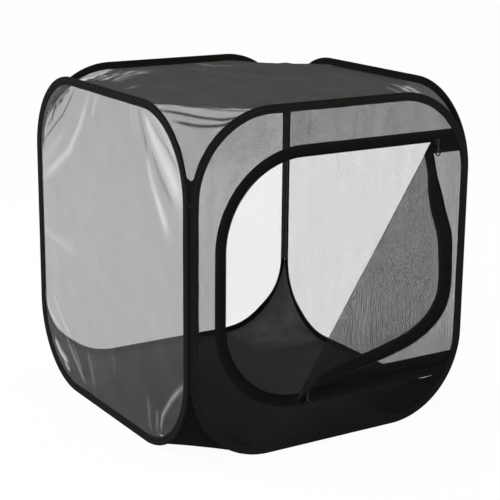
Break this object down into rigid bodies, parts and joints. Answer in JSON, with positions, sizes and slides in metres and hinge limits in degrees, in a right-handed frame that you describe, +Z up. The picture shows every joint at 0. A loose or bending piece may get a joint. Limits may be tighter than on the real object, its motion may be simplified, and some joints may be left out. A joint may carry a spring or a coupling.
{
  "type": "insect cage",
  "caption": "Pop-up insect cage of spring-wire walls with mesh sides, one clear film wall, cloth top and floor, and a C-shaped zipped door folded open.",
  "frame": {"origin": "middle of the cage's underside, on the floor's lower face", "axes": "+Z up, -Y out through the door wall, -X out through the clear film wall"},
  "size_m": [0.612, 0.9253, 0.636],
  "materials": {
    "binding_tape": "woven matt",
    "insect_mesh": "fine open mesh",
    "clear_film": "glossy",
    "floor_cloth": "woven",
    "zip_tape": "woven matt",
    "zip_chain": "satin",
    "zip_metal": "satin black",
    "spring_steel": "drawn"
  },
  "bodies": {
    "front_wall": {"front_binding": "binding_tape", "front_wire_loop": "spring_steel", "front_wire_ferrule": "spring_steel", "front_mesh_panel": "insect_mesh", "frame_zip_tape": "zip_tape", "frame_zip_chain": "zip_chain", "door_shut_mesh": "insect_mesh", "door_upper_shut_tape": "zip_tape", "door_upper_shut_chain": "zip_chain", "door_lower_shut_tape": "zip_tape", "door_lower_shut_chain": "zip_chain", "upper_end_stop": "zip_metal", "lower_end_stop": "zip_metal", "top_panel": "insect_mesh", "floor_panel": "floor_cloth", "top_gusset_front_left": "insect_mesh", "top_gusset_front_right": "insect_mesh", "top_gusset_back_left": "insect_mesh", "top_gusset_back_right": "insect_mesh", "floor_gusset_front_left": "floor_cloth", "floor_gusset_front_right": "floor_cloth", "floor_gusset_back_left": "floor_cloth", "floor_gusset_back_right": "floor_cloth"},
    "left_wall": {"left_binding": "binding_tape", "left_wire_loop": "spring_steel", "left_wire_ferrule": "spring_steel", "left_film_panel": "clear_film"},
    "right_wall": {"right_binding": "binding_tape", "right_wire_loop": "spring_steel", "right_wire_ferrule": "spring_steel", "right_mesh_panel": "insect_mesh"},
    "back_wall": {"back_binding": "binding_tape", "back_wire_loop": "spring_steel", "back_wire_ferrule": "spring_steel", "back_mesh_panel": "insect_mesh"},
    "door_flap": {"door_flap_mesh": "insect_mesh", "door_flap_tape": "zip_tape", "door_flap_chain": "zip_chain"},
    "upper_slider": {"upper_slider": "zip_metal"},
    "upper_pull": {"upper_pull": "zip_metal"},
    "lower_slider": {"lower_slider": "zip_metal"},
    "lower_pull": {"lower_pull": "zip_metal"}
  },
  "joints": [
    {"name": "left_wall_fold", "type": "hinge", "parent": "front_wall", "child": "left_wall", "pos_m": [-0.3, -0.308, 0.318], "axis": [0, 0, 1], "range_deg": [-85, 85], "deforming": ["top_panel", "floor_panel", "top_gusset_front_left", "top_gusset_front_right", "top_gusset_back_left", "top_gusset_back_right", "floor_gusset_front_left", "floor_gusset_front_right", "floor_gusset_back_left", "floor_gusset_back_right"]},
    {"name": "right_wall_fold", "type": "hinge", "parent": "front_wall", "child": "right_wall", "pos_m": [0.3, -0.308, 0.318], "axis": [0, 0, 1], "range_deg": [-85, 85]},
    {"name": "back_wall_fold", "type": "hinge", "parent": "left_wall", "child": "back_wall", "pos_m": [-0.3, 0.308, 0.318], "axis": [0, 0, 1], "range_deg": [-85, 85]},
    {"name": "door_fold", "type": "hinge", "parent": "front_wall", "child": "door_flap", "pos_m": [-0.073, -0.3122, 0.102], "axis": [0.5409, 0, 0.8411], "range_deg": [-76, 69]},
    {"name": "upper_slider_travel", "type": "slide", "parent": "front_wall", "child": "upper_slider", "axis": [1, 0, 0], "range_m": [0, 0.0347]},
    {"name": "upper_pull_swing", "type": "hinge", "parent": "upper_slider", "child": "upper_pull", "pos_m": [0.2225, -0.3157, 0.539], "axis": [1, 0, 0], "range_deg": [-160, 0]},
    {"name": "lower_slider_travel", "type": "slide", "parent": "front_wall", "child": "lower_slider", "axis": [1, 0, 0], "range_m": [0, 0.318]},
    {"name": "lower_pull_swing", "type": "hinge", "parent": "lower_slider", "child": "lower_pull", "pos_m": [-0.0585, -0.3157, 0.102], "axis": [1, 0, 0], "range_deg": [-100, 0]}
  ],
  "couplings": [
    {"joint": "right_wall_fold", "follows": "left_wall_fold", "ratio": 1},
    {"joint": "back_wall_fold", "follows": "left_wall_fold", "ratio": -1}
  ]
}
